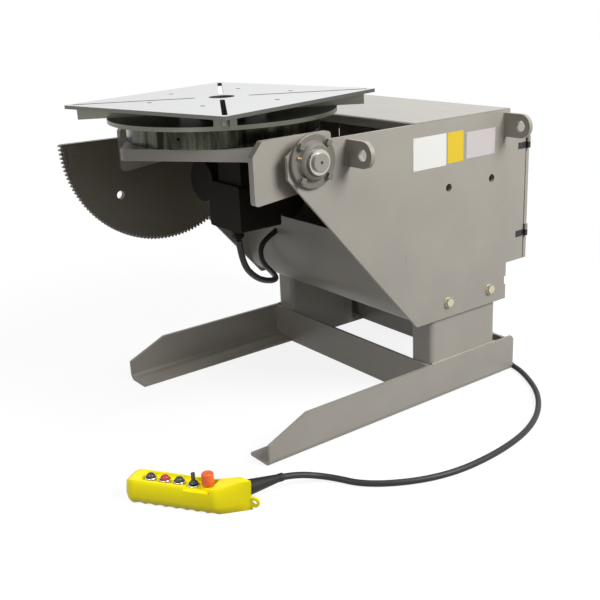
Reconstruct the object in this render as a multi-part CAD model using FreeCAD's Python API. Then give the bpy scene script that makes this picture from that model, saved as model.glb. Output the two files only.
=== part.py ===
import FreeCAD
import Part
import math
import os

os.makedirs("parts", exist_ok=True)
V = FreeCAD.Vector

# Welding positioner, millimetres. The origin is on the floor, under the middle of the front
# cross plate. +X points to the side with the cabinet hinges, -Y is the front, +Z is up.

# Base frame
half_width = 495.0
plate_t = 12.0
leg_front_y = -746.0
leg_slope_end_y = -585.0
leg_rear_y = 453.0
leg_front_h = 78.0
leg_h = 149.0
leg_flange = 115.0
leg_bend_r = 26.0
cross_h = 144.0
cross_rear_y = 422.0
tab_h = 36.0
slot_clear = 0.5

# Columns
column_w = 110.0
column_depth = 350.0
column_wall = 10.0
column_corner_r = 22.0
column_top_z = 470.0

# Side plates and cabinet sheets
side_bottom_z = 320.0
side_top_z = 1046.0
side_foot_y = -76.0
side_rear_y = 395.0
side_nose_reach = 93.0
side_nose_low_z = 941.0
side_nose_top_z = 1010.0
side_brow_back = 50.0
sheet_t = 6.0
cover_t = 5.0
cover_front_y = -84.0
cover_lip = 28.0
pan_front_y = -130.0
pan_top_z = 622.0
pan_bottom_z = 334.0
pan_bend_r = 90.0
pan_tab_z = 566.0

# Tilt axis (parallel to X) and the trunnions on it
tilt_y = -525.0
tilt_z = 988.0
shaft_r = 30.0
shaft_end_x = 547.0
bore_clear = 0.05
flange_half = 64.0
flange_corner_r = 20.0
flange_t = 13.0
housing_depth = 31.0
housing_r = 57.0
housing_mouth_r = 46.0
housing_bolt_xy = 47.0
housing_bolt_r = 8.0
nipple_angle = 163.0
collar_r = 40.0
collar_t = 11.0

# Tilting frame
arm_out_x = 452.0
arm_t = 25.0
arm_front = 190.0
arm_rear = 114.0
arm_top = 75.0
arm_bottom = 123.0
arm_brow_back = 37.0
arm_brow_drop = 44.0
arm_corner_r = 12.0
doubler_r = 93.0
doubler_t = 20.0
saddle_t = 38.0
saddle_top_z = 1026.0
saddle_nose = 398.0
saddle_side_y = 97.0
saddle_bore_r = 110.0

# Tilt gearing: sector on the left arm, pinion on the gearbox
gear_module = 5.0
sector_teeth_full = 166
sector_teeth = 69
sector_t = 25.0
pinion_teeth = 16
pinion_face = 30.0
pinion_angle = 142.0
tooth_thinning = 0.35
sector_eye_reach = 293.0
sector_eye_angle = 46.8
sector_eye_r = 16.0
sector_screw_reach = 74.0
sector_screw_r = 6.0
screw_head_r = 9.0
screw_head_h = 12.0
dog_inset = 18.0
dog_w = 46.0
dog_t = 9.0
dog_low = 84.0
dog_high = 6.0

# Slewing ring and table
ring_out_r = 335.0
ring_gap = 1.0
race_r = 299.0
ring_outer_top_z = 1085.0
disc_r = 396.0
disc_z = 1092.0
disc_t = 14.0
table_side = 762.0
table_t = 12.0
table_top_z = 1153.0
table_turn = 13.5
table_corner_r = 10.0
centre_bore_r = 45.0
slot_w = 17.0
slot_inner = 92.0
slot_outer = 508.0
t_bar_w = 22.0
t_bar_gap = 26.0
t_bar_inner = 150.0
t_bar_outer = 490.0
table_hole_r = 9.0
ring_gear_teeth = 102
turn_pinion_teeth = 17

# Control cabinet on the back
box_half_w = 470.0
box_bottom_z = 452.0
box_top_z = 986.0
box_depth = 123.0
box_wall = 3.0
gasket_t = 4.0
door_depth = 18.0
door_wall = 3.0
hinge_r = 7.0
hinge_h = 46.0
hinge_low_z = 545.0
hinge_high_z = 887.0

# Pendant on the floor: handset lying on its back
pendant_x = 487.0
pendant_y = -1081.0
pendant_turn = 34.3
pendant_front = 176.0
pendant_taper_x = 141.0
pendant_nose_x = 232.0
pendant_nose_y = 18.0
pendant_half_low = 42.0
pendant_half_mid = 47.0
pendant_half_top = 36.0
pendant_mid_z = 28.0
pendant_h = 80.0
pendant_tail_h = 98.0
trough_depth = 12.0
trough_half = 29.0
device_pitch = 48.8
device_hole_r = 9.5
device_hole_depth = 26.0
device_stem_r = 9.0
stem_depth = 18.0
button_r = 14.0
bezel_r = 20.0
bezel_h = 10.0
low_bezel_h = 5.0
press_gap = 4.6
toggle_barrel_r = 6.0
toggle_barrel_half = 5.0
knob_r = 18.5
knob_h = 38.0
knob_stem_r = 8.0
knob_gap = 12.0
boot_r = 25.0
boot_end_r = 13.5
boot_length = 132.0
boot_turn = 57.3
boot_z = 68.0
boot_fall = 0.114
hook_eye_r = 8.0
hook_rim = 8.0
hook_t = 9.0
cord_r = 10.5

# Motor cable: its loop hangs between the turn motor and the belly pan
cable_r = 11.0
cable_hole_x = -281.0
cable_hole_z = 551.0
cable_hole_clear = 2.4

run_fit = 0.3
hole_clear = 0.3

inner_x = half_width - plate_t
gear_pitch_r = gear_module * sector_teeth_full / 2
pinion_pitch_r = gear_module * pinion_teeth / 2
pinion_reach = gear_pitch_r + pinion_pitch_r
pinion_y = tilt_y - pinion_reach * math.cos(math.radians(pinion_angle))
pinion_z = tilt_z - pinion_reach * math.sin(math.radians(pinion_angle))
arm_in_x = arm_out_x - arm_t


def block(x0, x1, y0, y1, z0, z1):
    return Part.makeBox(x1 - x0, y1 - y0, z1 - z0, V(x0, y0, z0))


def rod_x(x0, x1, y, z, r):
    return Part.makeCylinder(r, x1 - x0, V(x0, y, z), V(1, 0, 0))


def rod_y(y0, y1, x, z, r):
    return Part.makeCylinder(r, y1 - y0, V(x, y0, z), V(0, 1, 0))


def rod_z(z0, z1, x, y, r):
    return Part.makeCylinder(r, z1 - z0, V(x, y, z0), V(0, 0, 1))


def plate_yz(points, x0, x1):
    """Plate across X with an outline of (y, z) points."""
    wire = Part.makePolygon([V(x0, y, z) for y, z in points + points[:1]])
    return Part.Face(wire).extrude(V(x1 - x0, 0, 0))


def plate_xz(points, y0, y1):
    """Plate across Y with an outline of (x, z) points."""
    wire = Part.makePolygon([V(x, y0, z) for x, z in points + points[:1]])
    return Part.Face(wire).extrude(V(0, y1 - y0, 0))


def plate_xy(points, z0, z1):
    """Level plate with an outline of (x, y) points."""
    wire = Part.makePolygon([V(x, y, z0) for x, y in points + points[:1]])
    return Part.Face(wire).extrude(V(0, 0, z1 - z0))


def mirror_x(shape):
    return shape.mirror(V(0, 0, 0), V(1, 0, 0))


def edges_along(shape, direction):
    """Straight edges parallel to a unit direction."""
    found = []
    for edge in shape.Edges:
        if isinstance(edge.Curve, Part.Line):
            run = edge.Vertexes[-1].Point - edge.Vertexes[0].Point
            if run.Length > 0 and abs(abs(run.normalize().dot(direction)) - 1) < 1e-6:
                found.append(edge)
    return found


def hex_head(x, y, z, across, height, axis):
    """Hexagon head or nut whose seat is at (x, y, z), standing out along axis."""
    r = across / math.sqrt(3)
    side_a = V(0, 0, 1) if abs(axis.z) < 0.5 else V(1, 0, 0)
    side_b = axis.cross(side_a)
    points = []
    for i in range(7):
        a = math.radians(60 * i)
        points.append(V(x, y, z) + side_a * (r * math.cos(a)) + side_b * (r * math.sin(a)))
    return Part.Face(Part.makePolygon(points)).extrude(axis * height)


def save(name, *solids):
    shape = solids[0] if len(solids) == 1 else Part.makeCompound(list(solids))
    shape.exportStep("parts/" + name + ".step")


def spin(shape, degrees, centre, axis):
    turned = shape.copy()
    turned.rotate(centre, axis, degrees)
    return turned


def gear_outline(teeth, module, thinning, addendum, dedendum):
    """Half tooth as (radius, half angle) pairs from root to tip, with involute flanks."""
    pitch_r = module * teeth / 2
    base_r = pitch_r * math.cos(math.radians(20))
    flat = math.tan(math.radians(20)) - math.radians(20)
    rows = []
    for r in (pitch_r - dedendum, pitch_r - 0.45 * dedendum, pitch_r, pitch_r + addendum):
        angle = math.acos(min(1, base_r / max(r, base_r)))
        spread = math.tan(angle) - angle
        rows.append((r, math.pi / (2 * teeth) + flat - spread - thinning / pitch_r))
    return rows


def tooth_points(rows, middle):
    """Polar points of one tooth about a middle angle, in rising angle."""
    left = [(r, middle - half) for r, half in rows]
    right = [(r, middle + half) for r, half in reversed(rows)]
    return left + right


# Legs: angle sections folded from plate, with a sloped toe
def leg():
    w = half_width
    r = leg_bend_r
    inner_r = r - plate_t
    c = math.sqrt(0.5)
    p = [V(w - leg_flange, 0, 0), V(w - r, 0, 0), V(w, 0, r), V(w, 0, leg_h),
         V(w - plate_t, 0, leg_h), V(w - plate_t, 0, r), V(w - r, 0, plate_t),
         V(w - leg_flange, 0, plate_t)]
    outer_mid = V(w - r + r * c, 0, r - r * c)
    inner_mid = V(w - r + inner_r * c, 0, r - inner_r * c)
    edges = [Part.makeLine(p[0], p[1]), Part.Arc(p[1], outer_mid, p[2]).toShape(),
             Part.makeLine(p[2], p[3]), Part.makeLine(p[3], p[4]), Part.makeLine(p[4], p[5]),
             Part.Arc(p[5], inner_mid, p[6]).toShape(), Part.makeLine(p[6], p[7]),
             Part.makeLine(p[7], p[0])]
    section = Part.Face(Part.Wire(edges))
    section.translate(V(0, leg_front_y, 0))
    body = section.extrude(V(0, leg_rear_y - leg_front_y, 0))
    over = 5
    toe = plate_yz([(leg_front_y - over, leg_front_h), (leg_front_y, leg_front_h),
                    (leg_slope_end_y, leg_h), (leg_slope_end_y, leg_h + over),
                    (leg_front_y - over, leg_h + over)], w - 2 * plate_t, w + over)
    heel = plate_yz([(leg_rear_y - 10, leg_h), (leg_rear_y, leg_h - 14),
                     (leg_rear_y + over, leg_h - 14), (leg_rear_y + over, leg_h + over),
                     (leg_rear_y - 10, leg_h + over)], w - 2 * plate_t, w + over)
    slot = block(inner_x - 1, w + 1, cross_rear_y - plate_t / 2 - slot_clear,
                 cross_rear_y + plate_t / 2 + slot_clear,
                 leg_h / 2 - tab_h / 2 - slot_clear, leg_h / 2 + tab_h / 2 + slot_clear)
    return body.cut(toe).cut(heel).cut(slot)


# Cross plates stand on edge between the legs and clear the folds
def cross_plate(y, with_tabs):
    flat_end = half_width - leg_flange - slot_clear
    fold = half_width - leg_bend_r - 1
    half = [(flat_end, 0), (flat_end, plate_t), (fold, plate_t),
            (inner_x, leg_bend_r + 1), (inner_x, cross_h)]
    outline = half + [(-x, z) for x, z in reversed(half)]
    plate = plate_xz(outline, y - plate_t / 2, y + plate_t / 2)
    if with_tabs:
        tab = block(inner_x - 1, half_width, y - plate_t / 2, y + plate_t / 2,
                    leg_h / 2 - tab_h / 2, leg_h / 2 + tab_h / 2)
        plate = plate.fuse([tab, mirror_x(tab)]).removeSplitter()
    return plate


column_front_y = plate_t / 2
column_mid_y = column_front_y + column_depth / 2
bolt_ys = (column_front_y + 74, column_front_y + column_depth - 54)
bolt_z = 380.0
bolt_r = 10.0
upper_hole_z = 806.0
upper_hole_r = 14.5
notch_zs = (394.0, 873.0)
notch_half = 17.0
notch_depth = 8.0


# Columns: rectangular tube with rounded corners, standing on the leg flange
def column():
    x0 = inner_x - column_w
    outer = block(x0, inner_x, column_front_y, column_front_y + column_depth,
                  plate_t, column_top_z)
    outer = outer.makeFillet(column_corner_r, edges_along(outer, V(0, 0, 1)))
    core = block(x0 + column_wall, inner_x - column_wall, column_front_y + column_wall,
                 column_front_y + column_depth - column_wall, plate_t - 1, column_top_z + 1)
    core = core.makeFillet(column_corner_r - column_wall, edges_along(core, V(0, 0, 1)))
    fold_notch = block(half_width - leg_bend_r, inner_x + 1, column_front_y - 1,
                       column_front_y + column_depth + 1, plate_t - 1, leg_bend_r + 1)
    tube = outer.cut(core).cut(fold_notch)
    for y in bolt_ys:
        tube = tube.cut(rod_x(inner_x - column_wall - 1, inner_x + 1, y, bolt_z,
                              bolt_r + hole_clear))
    return tube


# Side plates: cabinet wall and trunnion carrier in one cut plate
def side_plate():
    front = tilt_y - side_nose_reach
    outline = [(side_foot_y, side_bottom_z), (side_rear_y, side_bottom_z),
               (side_rear_y, side_top_z), (front + side_brow_back, side_top_z),
               (front, side_nose_top_z), (front, side_nose_low_z)]
    plate = plate_yz(outline, inner_x, half_width)
    plate = plate.cut(rod_x(inner_x - 1, half_width + 1, tilt_y, tilt_z, shaft_r + 3))
    for y, z in housing_bolt_places():
        plate = plate.cut(rod_x(inner_x - 1, half_width + 1, y, z, housing_bolt_r + bore_clear))
    for y in bolt_ys:
        plate = plate.cut(rod_x(inner_x - 1, half_width + 1, y, bolt_z, bolt_r + hole_clear))
        plate = plate.cut(rod_x(inner_x - 1, half_width + 1, y, upper_hole_z, upper_hole_r))
    slot = block(inner_x - 1, half_width + 1, pan_front_y - sheet_t / 2 - slot_clear,
                 pan_front_y + sheet_t / 2 + slot_clear,
                 pan_tab_z - slot_clear, pan_tab_z + tab_h + slot_clear)
    plate = plate.cut(slot)
    for z in notch_zs:
        plate = plate.cut(block(inner_x - 1, half_width + 1, side_rear_y - notch_depth,
                                side_rear_y + 1, z - notch_half, z + notch_half))
    return plate


def housing_bolt_places():
    b = housing_bolt_xy
    return [(tilt_y + sy * b, tilt_z + sz * b) for sy in (-1, 1) for sz in (-1, 1)]


# Bolts that clamp the side plate to the column: head, washer and nut
def column_bolt(y):
    washer = rod_x(half_width, half_width + 3, y, bolt_z, 19)
    head = hex_head(half_width + 3, y, bolt_z, 30, 12, V(1, 0, 0))
    inner = inner_x - column_wall
    shank = rod_x(inner - 20, half_width + 4, y, bolt_z, bolt_r)
    nut = hex_head(inner, y, bolt_z, 30, 16, V(-1, 0, 0))
    return washer.fuse([head, shank, nut])


def formed_sheet(path, thickness, x0, x1):
    """Sheet across X whose centre line is a list of (y, z, bend radius) points."""
    points = [V(x0, y, z) for y, z, r in path]
    edges = []
    start = points[0]
    for i in range(1, len(points) - 1):
        into = (points[i - 1] - points[i]).normalize()
        out = (points[i + 1] - points[i]).normalize()
        half = math.acos(max(-1, min(1, into.dot(out)))) / 2
        back = path[i][2] / math.tan(half)
        a = points[i] + into * back
        b = points[i] + out * back
        middle = (into + out).normalize()
        centre = points[i] + middle * (path[i][2] / math.sin(half))
        edges.append(Part.makeLine(start, a))
        edges.append(Part.Arc(a, centre - middle * path[i][2], b).toShape())
        start = b
    edges.append(Part.makeLine(start, points[-1]))
    line = Part.Wire(edges)
    band = line.makeOffset2D(thickness / 2, fill=True, openResult=True)
    other = line.makeOffset2D(-thickness / 2, fill=True, openResult=True)
    return band.extrude(V(x1 - x0, 0, 0)).fuse(other.extrude(V(x1 - x0, 0, 0))).removeSplitter()


# Belly pan: folded front and floor of the cabinet, tabbed through the side plates
def belly_pan():
    y_end = side_rear_y - sheet_t
    path = [(pan_front_y, pan_top_z, 0), (pan_front_y, pan_bottom_z, pan_bend_r),
            (y_end, pan_bottom_z, 0)]
    pan = formed_sheet(path, sheet_t, -inner_x, inner_x)
    tab = block(inner_x - 1, half_width, pan_front_y - sheet_t / 2, pan_front_y + sheet_t / 2,
                pan_tab_z, pan_tab_z + tab_h)
    well = block(inner_x - column_w - 1, inner_x + 1, column_front_y - 1,
                 column_front_y + column_depth + 1, pan_bottom_z - 20, pan_bottom_z + 20)
    cable_hole = rod_y(pan_front_y - sheet_t, pan_front_y + sheet_t, cable_hole_x, cable_hole_z,
                       cable_r + cable_hole_clear)
    pan = pan.cut(well).cut(mirror_x(well)).cut(cable_hole)
    return pan.fuse([tab, mirror_x(tab)]).removeSplitter()


def top_cover():
    path = [(cover_front_y + cover_t / 2, side_top_z - cover_lip, 0),
            (cover_front_y + cover_t / 2, side_top_z + cover_t / 2, 6),
            (side_rear_y - cover_t / 2, side_top_z + cover_t / 2, 6),
            (side_rear_y - cover_t / 2, side_top_z - cover_lip, 0)]
    sheet = formed_sheet(path, cover_t, -half_width, half_width)
    for side in (inner_x - 0.5, -half_width - 1):
        sheet = sheet.cut(block(side, side + plate_t + 1.5, cover_front_y - 1, side_rear_y + 1,
                                side_top_z - cover_lip - 1, side_top_z))
    return sheet


def rear_panel():
    """Frame behind the machine space: it closes the sides and carries the cabinet."""
    y1 = side_rear_y
    panel = block(-inner_x, inner_x, y1 - sheet_t, y1, side_bottom_z,
                  side_top_z - cover_lip - run_fit)
    opening = block(-box_half_w + 60, box_half_w - 60, y1 - sheet_t - 1, y1 + 1,
                    box_bottom_z + 60, box_top_z - 120)
    return panel.cut(opening)


lug_t = 16.0
lug_r = 43.0
lug_hole_r = 20.0
lug_hole_x = half_width + 76
lug_z = side_top_z - 52


def lifting_lug(y):
    tab = block(half_width, lug_hole_x, y - lug_t / 2, y + lug_t / 2,
                lug_z - lug_r, lug_z + lug_r)
    eye = rod_y(y - lug_t / 2, y + lug_t / 2, lug_hole_x, lug_z, lug_r)
    hole = rod_y(y - lug_t, y + lug_t, lug_hole_x, lug_z, lug_hole_r)
    return tab.fuse(eye).removeSplitter().cut(hole)


lug_ys = (tilt_y + 149, side_rear_y - 26)


# Flange bearing housing: square flange, turned body and a bore for the trunnion
def bearing_housing():
    x = half_width
    h = flange_half
    flange = block(x, x + flange_t, tilt_y - h, tilt_y + h, tilt_z - h, tilt_z + h)
    flange = flange.makeFillet(flange_corner_r, edges_along(flange, V(1, 0, 0)))
    profile = [V(x, 0, 0), V(x, 0, housing_r), V(x + flange_t + 4, 0, housing_r),
               V(x + housing_depth - 6, 0, housing_mouth_r + 4),
               V(x + housing_depth, 0, housing_mouth_r), V(x + housing_depth, 0, 0), V(x, 0, 0)]
    face = Part.Face(Part.makePolygon(profile))
    turned = face.revolve(V(0, 0, 0), V(1, 0, 0), 360)
    turned.translate(V(0, tilt_y, tilt_z))
    body = flange.fuse(turned)
    body = body.cut(rod_x(x - 1, x + 100, tilt_y, tilt_z, shaft_r + bore_clear))
    recess = rod_x(x + housing_depth - 5, x + 100, tilt_y, tilt_z, shaft_r + 6)
    body = body.cut(recess)
    for y, z in housing_bolt_places():
        body = body.cut(rod_x(x - 1, x + flange_t + 20, y, z, housing_bolt_r + hole_clear))
        body = body.cut(rod_x(x + flange_t, x + 60, y, z, housing_bolt_r * 1.9))
    seat, out = nipple_line()
    body = body.cut(Part.makeCylinder(nipple_r + bore_clear, 12, seat - out * 8, out))
    return body.removeSplitter()


def housing_bolt(y, z):
    """Bolt into the tapped side plate, its end flush with the plate's inner face."""
    seat = half_width + flange_t
    head = hex_head(seat, y, z, 24, 10, V(1, 0, 0))
    return head.fuse(rod_x(inner_x, seat + 1, y, z, housing_bolt_r))


nipple_r = 3.0


def nipple_line():
    """Where the grease nipple seats on the round of the housing, and its direction."""
    a = math.radians(nipple_angle)
    out = V(0, math.cos(a), math.sin(a))
    return V(half_width + flange_t + 5.5, tilt_y, tilt_z) + out * housing_r, out


def grease_nipple():
    seat, out = nipple_line()
    neck = Part.makeCylinder(nipple_r, 14, seat - out * 6, out)
    collar = Part.makeCylinder(5, 4, seat + out * run_fit, out)
    ball = Part.makeSphere(3.6, seat + out * 9)
    return neck.fuse([collar, ball])


save("leg_right", leg())
save("leg_left", mirror_x(leg()))
save("cross_plate_front", cross_plate(0, False))
save("cross_plate_rear", cross_plate(cross_rear_y, True))
save("column_right", column())
save("column_left", mirror_x(column()))
save("side_plate_right", side_plate())
save("side_plate_left", mirror_x(side_plate()))
save("belly_pan", belly_pan())
save("top_cover", top_cover())
save("rear_panel", rear_panel())
lugs = [lifting_lug(y) for y in lug_ys]
save("lifting_lugs", *(lugs + [mirror_x(b) for b in lugs]))
save("bearing_housing_right", bearing_housing())
save("bearing_housing_left", mirror_x(bearing_housing()))
bolts = [column_bolt(y) for y in bolt_ys]
bolts += [housing_bolt(y, z) for y, z in housing_bolt_places()]
save("frame_bolts", *(bolts + [mirror_x(b) for b in bolts]))
save("grease_nipples", grease_nipple(), mirror_x(grease_nipple()))


# Tilting frame: two arms welded to a pointed saddle plate, with hub doublers
def arm():
    y0 = tilt_y - arm_front
    y1 = tilt_y + arm_rear
    outline = [(y0, tilt_z - arm_bottom), (y1, tilt_z - arm_bottom + 30), (y1, tilt_z + arm_top),
               (y0 + arm_brow_back, tilt_z + arm_top),
               (y0, tilt_z + arm_top - arm_brow_drop)]
    plate = plate_yz(outline, arm_in_x, arm_out_x)
    plate = plate.makeFillet(arm_corner_r, edges_along(plate, V(1, 0, 0)))
    return plate.cut(rod_x(arm_in_x - 1, arm_out_x + 1, tilt_y, tilt_z, shaft_r + bore_clear))


def sector_screw_places():
    places = []
    for i in range(6):
        a = math.radians(30 + 60 * i)
        places.append((tilt_y + sector_screw_reach * math.cos(a),
                       tilt_z + sector_screw_reach * math.sin(a)))
    return places


def left_arm():
    """The left arm also has the tapped holes for the sector's screws."""
    plate = mirror_x(arm())
    for y, z in sector_screw_places():
        plate = plate.cut(rod_x(-arm_out_x - 1, -arm_in_x, y, z, sector_screw_r + bore_clear))
    return plate


def hub_doubler():
    disc = rod_x(arm_in_x - doubler_t, arm_in_x, tilt_y, tilt_z, doubler_r)
    return disc.cut(rod_x(0, arm_out_x, tilt_y, tilt_z, shaft_r + bore_clear))


def trunnion_shaft():
    shaft = rod_x(arm_in_x - doubler_t, shaft_end_x, tilt_y, tilt_z, shaft_r)
    rim = [e for e in shaft.Edges if isinstance(e.Curve, Part.Circle)
           and abs(e.Curve.Center.x - shaft_end_x) < 1e-6]
    shaft = shaft.makeChamfer(2, rim)
    return shaft.cut(rod_x(shaft_end_x - 14, shaft_end_x + 1, tilt_y, tilt_z, 5))


def shaft_collar():
    x0 = half_width + housing_depth + run_fit
    ring = rod_x(x0, x0 + collar_t, tilt_y, tilt_z, collar_r)
    ring = ring.cut(rod_x(x0 - 1, x0 + collar_t + 1, tilt_y, tilt_z, shaft_r + bore_clear))
    for degrees in (60, 180):
        screw = Part.makeCylinder(3.5, collar_r, V(x0 + collar_t / 2, tilt_y, tilt_z), V(0, 0, 1))
        ring = ring.cut(spin(screw, degrees, V(0, tilt_y, tilt_z), V(1, 0, 0)))
    return ring


def spacer(x0):
    tube = rod_x(x0, inner_x - run_fit, tilt_y, tilt_z, 47)
    return tube.cut(rod_x(x0 - 1, inner_x + 1, tilt_y, tilt_z, shaft_r + bore_clear))


turn_pinion_r = gear_module * turn_pinion_teeth / 2
ring_gear_r = gear_module * ring_gear_teeth / 2
turn_pinion_y = tilt_y + ring_gear_r - turn_pinion_r


def saddle_plate():
    n = saddle_nose
    s = saddle_side_y
    x = arm_in_x
    outline = [(-10, tilt_y - n), (10, tilt_y - n), (x, tilt_y - s), (x, tilt_y + s),
               (10, tilt_y + n), (-10, tilt_y + n), (-x, tilt_y + s), (-x, tilt_y - s)]
    plate = plate_xy(outline, saddle_top_z - saddle_t, saddle_top_z)
    z0 = saddle_top_z - saddle_t - 1
    plate = plate.cut(rod_z(z0, saddle_top_z + 1, 0, tilt_y, saddle_bore_r))
    plate = plate.cut(rod_z(z0, saddle_top_z + 1, 0, turn_pinion_y, turn_pinion_r + 9))
    hub_room = rod_x(x - doubler_t, x, tilt_y, tilt_z, doubler_r)
    return plate.cut(hub_room).cut(mirror_x(hub_room))


save("arm_right", arm())
save("arm_left", left_arm())
save("hub_doublers", hub_doubler(), mirror_x(hub_doubler()))
save("trunnion_shaft_right", trunnion_shaft())
save("trunnion_shaft_left", mirror_x(trunnion_shaft()))
save("shaft_collars", shaft_collar(), mirror_x(shaft_collar()))
save("shaft_spacers", spacer(arm_out_x), mirror_x(spacer(arm_out_x + sector_t)))
save("saddle_plate", saddle_plate())


# Sector gear and its pinion share one tooth form; a sector gap faces a pinion tooth at rest
sector_face_x = -arm_out_x
sector_back_x = sector_face_x - sector_t


def sector_point(r, psi):
    """Point at radius r, psi radians from the front, turning down and back."""
    return (tilt_y - r * math.cos(psi), tilt_z - r * math.sin(psi))


def sector_gear():
    pitch = 2 * math.pi / sector_teeth_full
    rows = gear_outline(sector_teeth_full, gear_module, tooth_thinning, 0.95 * gear_module,
                        1.3 * gear_module)
    rows = [rows[0], rows[2], rows[3]]
    last = math.radians(pinion_angle) + 2.5 * pitch
    points = [sector_point(0, 0)]
    for i in range(sector_teeth):
        middle = last - (sector_teeth - 1 - i) * pitch
        points += [sector_point(r, psi) for r, psi in tooth_points(rows, middle)]
    plate = plate_yz(points, sector_back_x, sector_face_x)
    plate = plate.fuse(rod_x(sector_back_x, sector_face_x, tilt_y, tilt_z, doubler_r + 12))
    plate = plate.removeSplitter()
    plate = plate.cut(rod_x(sector_back_x - 1, sector_face_x + 1, tilt_y, tilt_z,
                            shaft_r + bore_clear))
    eye_y, eye_z = sector_point(sector_eye_reach, math.radians(sector_eye_angle))
    plate = plate.cut(rod_x(sector_back_x - 1, sector_face_x + 1, eye_y, eye_z, sector_eye_r))
    for y, z in sector_screw_places():
        plate = plate.cut(rod_x(sector_back_x - 1, sector_face_x + 1, y, z,
                                sector_screw_r + hole_clear))
        plate = plate.cut(rod_x(sector_back_x - 1, sector_back_x + screw_head_h, y, z,
                                screw_head_r + hole_clear))
    return plate


def sector_screw(y, z):
    """Socket-head screw sunk in the sector's back and tapped into the arm."""
    seat = sector_back_x + screw_head_h
    head = rod_x(sector_back_x + 1, seat, y, z, screw_head_r)
    shank = rod_x(seat, -arm_in_x, y, z, sector_screw_r)
    socket = hex_head(sector_back_x + 1, y, z, 10, 5, V(1, 0, 0))
    return head.fuse(shank).cut(socket)


# Stop dog: a rounded pad screwed on the sector's face near its front tip
def stop_dog():
    y0 = tilt_y - gear_pitch_r + dog_inset
    dog = block(sector_face_x, sector_face_x + dog_t, y0, y0 + dog_w, tilt_z - dog_low,
                tilt_z - dog_high)
    dog = dog.makeFillet(5, edges_along(dog, V(1, 0, 0)))
    screw = hex_head(sector_face_x + dog_t, y0 + dog_w / 2, tilt_z - (dog_low + dog_high) / 2,
                     13, 6, V(1, 0, 0))
    return dog.fuse(screw)


def pinion():
    rows = gear_outline(pinion_teeth, gear_module, tooth_thinning, 0.95 * gear_module,
                        1.3 * gear_module)
    pitch = 2 * math.pi / pinion_teeth
    toward = math.atan2(tilt_z - pinion_z, tilt_y - pinion_y)
    points = []
    for i in range(pinion_teeth):
        for r, a in tooth_points(rows, toward + i * pitch):
            points.append((pinion_y + r * math.cos(a), pinion_z + r * math.sin(a)))
    middle = (sector_back_x + sector_face_x) / 2
    gear = plate_yz(points, middle - pinion_face / 2, middle + pinion_face / 2)
    shaft = rod_x(middle, gearbox_in_x + 45, pinion_y, pinion_z, 16)
    return gear.fuse(shaft).removeSplitter()


gearbox_in_x = -436.0
gearbox_out_x = -296.0
gearbox_half = 74.0
motor_r = 66.0
motor_end_x = -116.0
shelf_z = pan_top_z


def tilt_gearbox():
    h = gearbox_half
    box = block(gearbox_in_x, gearbox_out_x, pinion_y - h, pinion_y + h, pinion_z - h,
                pinion_z + h)
    box = box.makeFillet(14, edges_along(box, V(1, 0, 0)))
    flange = rod_x(gearbox_in_x - 6, gearbox_in_x, pinion_y, pinion_z, 52)
    worm = rod_y(pinion_y - h - 14, pinion_y + h + 14, (gearbox_in_x + gearbox_out_x) / 2,
                 pinion_z + h - 34, 30)
    flare = rod_x(gearbox_out_x, gearbox_out_x + 10, pinion_y, pinion_z, motor_r + 7)
    body = box.fuse([flange, worm, flare]).removeSplitter()
    return body.cut(rod_x(gearbox_in_x - 7, gearbox_in_x + 50, pinion_y, pinion_z,
                          16 + bore_clear))


def finned_motor(x0, x1, r):
    """Finned motor along X from x0 to x1, turned about its own axis at y = z = 0."""
    core = r - 6
    body = rod_x(x0, x1, 0, 0, core)
    fins = []
    for i in range(20):
        fin = block(x0 + 14, x1 - 42, -1.6, 1.6, core - 2, r)
        fins.append(spin(fin, 18 * i, V(0, 0, 0), V(1, 0, 0)))
    front = rod_x(x0, x0 + 12, 0, 0, r)
    cowl = rod_x(x1 - 38, x1, 0, 0, r)
    return body.fuse(fins + [front, cowl])


def tilt_motor():
    motor = finned_motor(gearbox_out_x + 10, motor_end_x, motor_r)
    motor.translate(V(0, pinion_y, pinion_z))
    return motor


def gearbox_shelf():
    y0 = pinion_y - gearbox_half
    y1 = pinion_y + gearbox_half + 20
    return block(-inner_x, gearbox_out_x, y0, y1, shelf_z, pinion_z - gearbox_half)


save("sector_gear", sector_gear())
save("sector_bolts", *[sector_screw(y, z) for y, z in sector_screw_places()])
save("stop_dog", stop_dog())
save("tilt_pinion", pinion())
save("tilt_gearbox", tilt_gearbox())
save("tilt_motor", tilt_motor())
save("gearbox_shelf", gearbox_shelf())


# Slewing ring: fixed outer race on the saddle, toothed inner race under the table disc
def slewing_ring_outer():
    ring = rod_z(saddle_top_z, ring_outer_top_z, 0, tilt_y, ring_out_r)
    ring = ring.cut(rod_z(saddle_top_z - 1, ring_outer_top_z + 1, 0, tilt_y, race_r + run_fit))
    groove = rod_z(saddle_top_z + 10, saddle_top_z + 13, 0, tilt_y, ring_out_r + 1)
    groove = groove.cut(rod_z(saddle_top_z, saddle_top_z + 20, 0, tilt_y, ring_out_r - 2.5))
    port = Part.makeCylinder(5, 20, V(ring_out_r - 14, tilt_y, saddle_top_z + 34), V(1, 0, 0))
    port = spin(port, -58, V(0, tilt_y, 0), V(0, 0, 1))
    return ring.cut(groove).cut(port)


def internal_gear_points(teeth, space_rows):
    points = []
    for i in range(teeth):
        for r, a in tooth_points(space_rows, 2 * math.pi * i / teeth):
            points.append((r * math.cos(a), tilt_y + r * math.sin(a)))
    return points


def slewing_ring_inner():
    z0 = saddle_top_z + run_fit
    ring = rod_z(z0, disc_z, 0, tilt_y, race_r)
    rows = gear_outline(ring_gear_teeth, gear_module, -tooth_thinning, 1.25 * gear_module,
                        0.95 * gear_module)
    space = plate_xy(internal_gear_points(ring_gear_teeth, [rows[0], rows[2], rows[3]]),
                     z0 - 1, disc_z + 1)
    turned = spin(space, 90, V(0, tilt_y, 0), V(0, 0, 1))
    return ring.cut(turned)


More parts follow.
